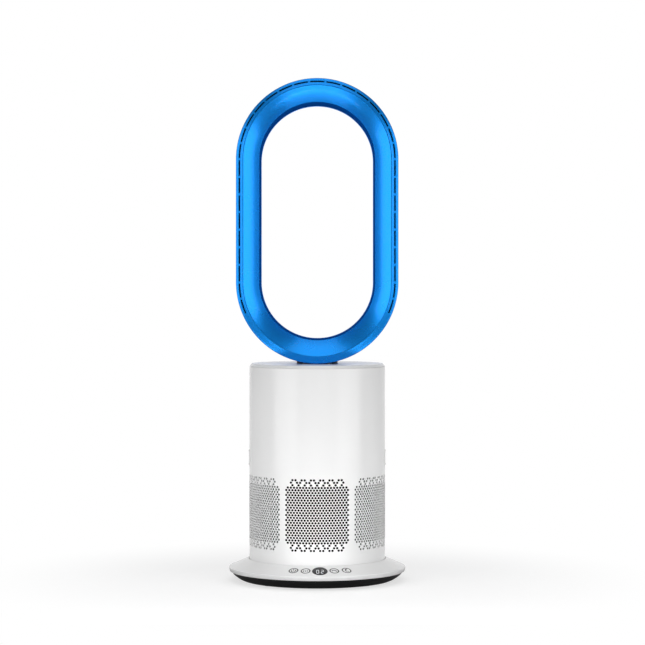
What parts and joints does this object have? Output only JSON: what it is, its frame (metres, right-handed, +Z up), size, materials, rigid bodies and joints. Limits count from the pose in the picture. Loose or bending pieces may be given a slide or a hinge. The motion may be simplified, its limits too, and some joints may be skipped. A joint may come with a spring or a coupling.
{
  "type": "bladeless fan",
  "caption": "Tall bladeless floor fan: a hollow loop outlet on a perforated column that swings on a round base with push keys and a digit display.",
  "frame": {"origin": "on the floor, on the axis that the column turns about", "axes": "+Z up along the column's axis, -Y towards the front with the keys, +X to the right seen from the front"},
  "size_m": [0.3344, 0.3344, 0.9481],
  "materials": {
    "white_abs": "glossy moulded ABS",
    "black_abs": "semi-gloss moulded ABS",
    "smoked_acrylic": "polished smoked acrylic",
    "blue_metallic_abs": "metallic blue lacquer under clear coat",
    "deep_blue_abs": "dark blue lacquer",
    "navy_abs": "satin moulded ABS",
    "grey_abs": "natural moulding",
    "rubber": "matt elastomer",
    "steel": "turned or pressed steel",
    "board_laminate": "solder-masked glass laminate"
  },
  "bodies": {
    "base": {"base_shell": "white_abs", "base_skirt": "black_abs", "base_plate": "black_abs", "ballast_ring": "steel", "rubber_foot_1": "rubber", "rubber_foot_2": "rubber", "rubber_foot_3": "rubber", "rubber_foot_4": "rubber", "base_screw_1": "steel", "base_screw_2": "steel", "base_screw_3": "steel", "base_screw_4": "steel", "pivot_post": "steel", "retaining_ring": "steel", "slide_ring": "grey_abs", "oscillation_motor": "steel", "control_board": "board_laminate", "display_module": "black_abs", "display_window": "smoked_acrylic", "power_inlet": "black_abs"},
    "column": {"body_shell": "white_abs", "top_cap": "white_abs", "turntable": "grey_abs", "gear_sector": "grey_abs", "lever_pin_right": "steel", "lever_pin_left": "steel", "motor_mount_ring": "rubber", "impeller_housing": "grey_abs", "outlet_duct": "grey_abs", "diffuser": "grey_abs", "motor_housing": "grey_abs", "lower_bearing": "steel", "upper_bearing": "steel", "motor_stator": "steel", "motor_end_plate": "steel", "motor_board": "board_laminate", "motor_cap": "grey_abs", "loop_front_shell": "blue_metallic_abs", "loop_rear_shell": "blue_metallic_abs", "loop_throat_ring": "deep_blue_abs", "loop_seal": "rubber", "loop_neck": "navy_abs", "neck_seal": "rubber"},
    "impeller": {"impeller": "grey_abs", "impeller_nut": "steel", "motor_shaft": "steel", "motor_rotor": "steel"},
    "pinion": {"drive_pinion": "grey_abs"},
    "power_key": {"power_key": "white_abs"},
    "breeze_key": {"breeze_key": "white_abs"},
    "swing_key": {"swing_key": "white_abs"},
    "timer_key": {"timer_key": "white_abs"},
    "button_right": {"release_button_right": "white_abs"},
    "button_left": {"release_button_left": "white_abs"},
    "lever_right": {"release_lever_right": "grey_abs"},
    "lever_left": {"release_lever_left": "grey_abs"}
  },
  "joints": [
    {"name": "column_swing", "type": "hinge", "parent": "base", "child": "column", "pos_m": [0, 0, 0], "axis": [0, 0, 1], "range_deg": [-40, 40]},
    {"name": "pinion_turn", "type": "hinge", "parent": "base", "child": "pinion", "pos_m": [0, 0.084, 0], "axis": [0, 0, 1], "range_deg": [-240, 240]},
    {"name": "impeller_spin", "type": "hinge", "parent": "column", "child": "impeller", "pos_m": [0, 0, 0.15], "axis": [0, 0, 1], "continuous": true},
    {"name": "power_key_press", "type": "slide", "parent": "base", "child": "power_key", "axis": [0, 0, -1], "range_m": [0, 0.0006], "stiffness_N_per_m": 800, "springref_m": -0.0006},
    {"name": "breeze_key_press", "type": "slide", "parent": "base", "child": "breeze_key", "axis": [0, 0, -1], "range_m": [0, 0.0006], "stiffness_N_per_m": 800, "springref_m": -0.0006},
    {"name": "swing_key_press", "type": "slide", "parent": "base", "child": "swing_key", "axis": [0, 0, -1], "range_m": [0, 0.0006], "stiffness_N_per_m": 800, "springref_m": -0.0006},
    {"name": "timer_key_press", "type": "slide", "parent": "base", "child": "timer_key", "axis": [0, 0, -1], "range_m": [0, 0.0006], "stiffness_N_per_m": 800, "springref_m": -0.0006},
    {"name": "button_right_press", "type": "slide", "parent": "column", "child": "button_right", "axis": [-1, 0, 0], "range_m": [0, 0.003], "stiffness_N_per_m": 600, "springref_m": -0.001},
    {"name": "lever_right_rock", "type": "hinge", "parent": "column", "child": "lever_right", "pos_m": [0.1157, 0, 0.32], "axis": [0, 1, 0], "range_deg": [0, 2.1]},
    {"name": "button_left_press", "type": "slide", "parent": "column", "child": "button_left", "axis": [1, 0, 0], "range_m": [0, 0.003], "stiffness_N_per_m": 600, "springref_m": -0.001},
    {"name": "lever_left_rock", "type": "hinge", "parent": "column", "child": "lever_left", "pos_m": [-0.1157, 0, 0.32], "axis": [0, -1, 0], "range_deg": [0, 2.1]}
  ],
  "couplings": [
    {"joint": "pinion_turn", "follows": "column_swing", "ratio": -6},
    {"joint": "lever_right_rock", "follows": "button_right_press", "rad_per_m": 11.442},
    {"joint": "lever_left_rock", "follows": "button_left_press", "rad_per_m": 11.442}
  ]
}
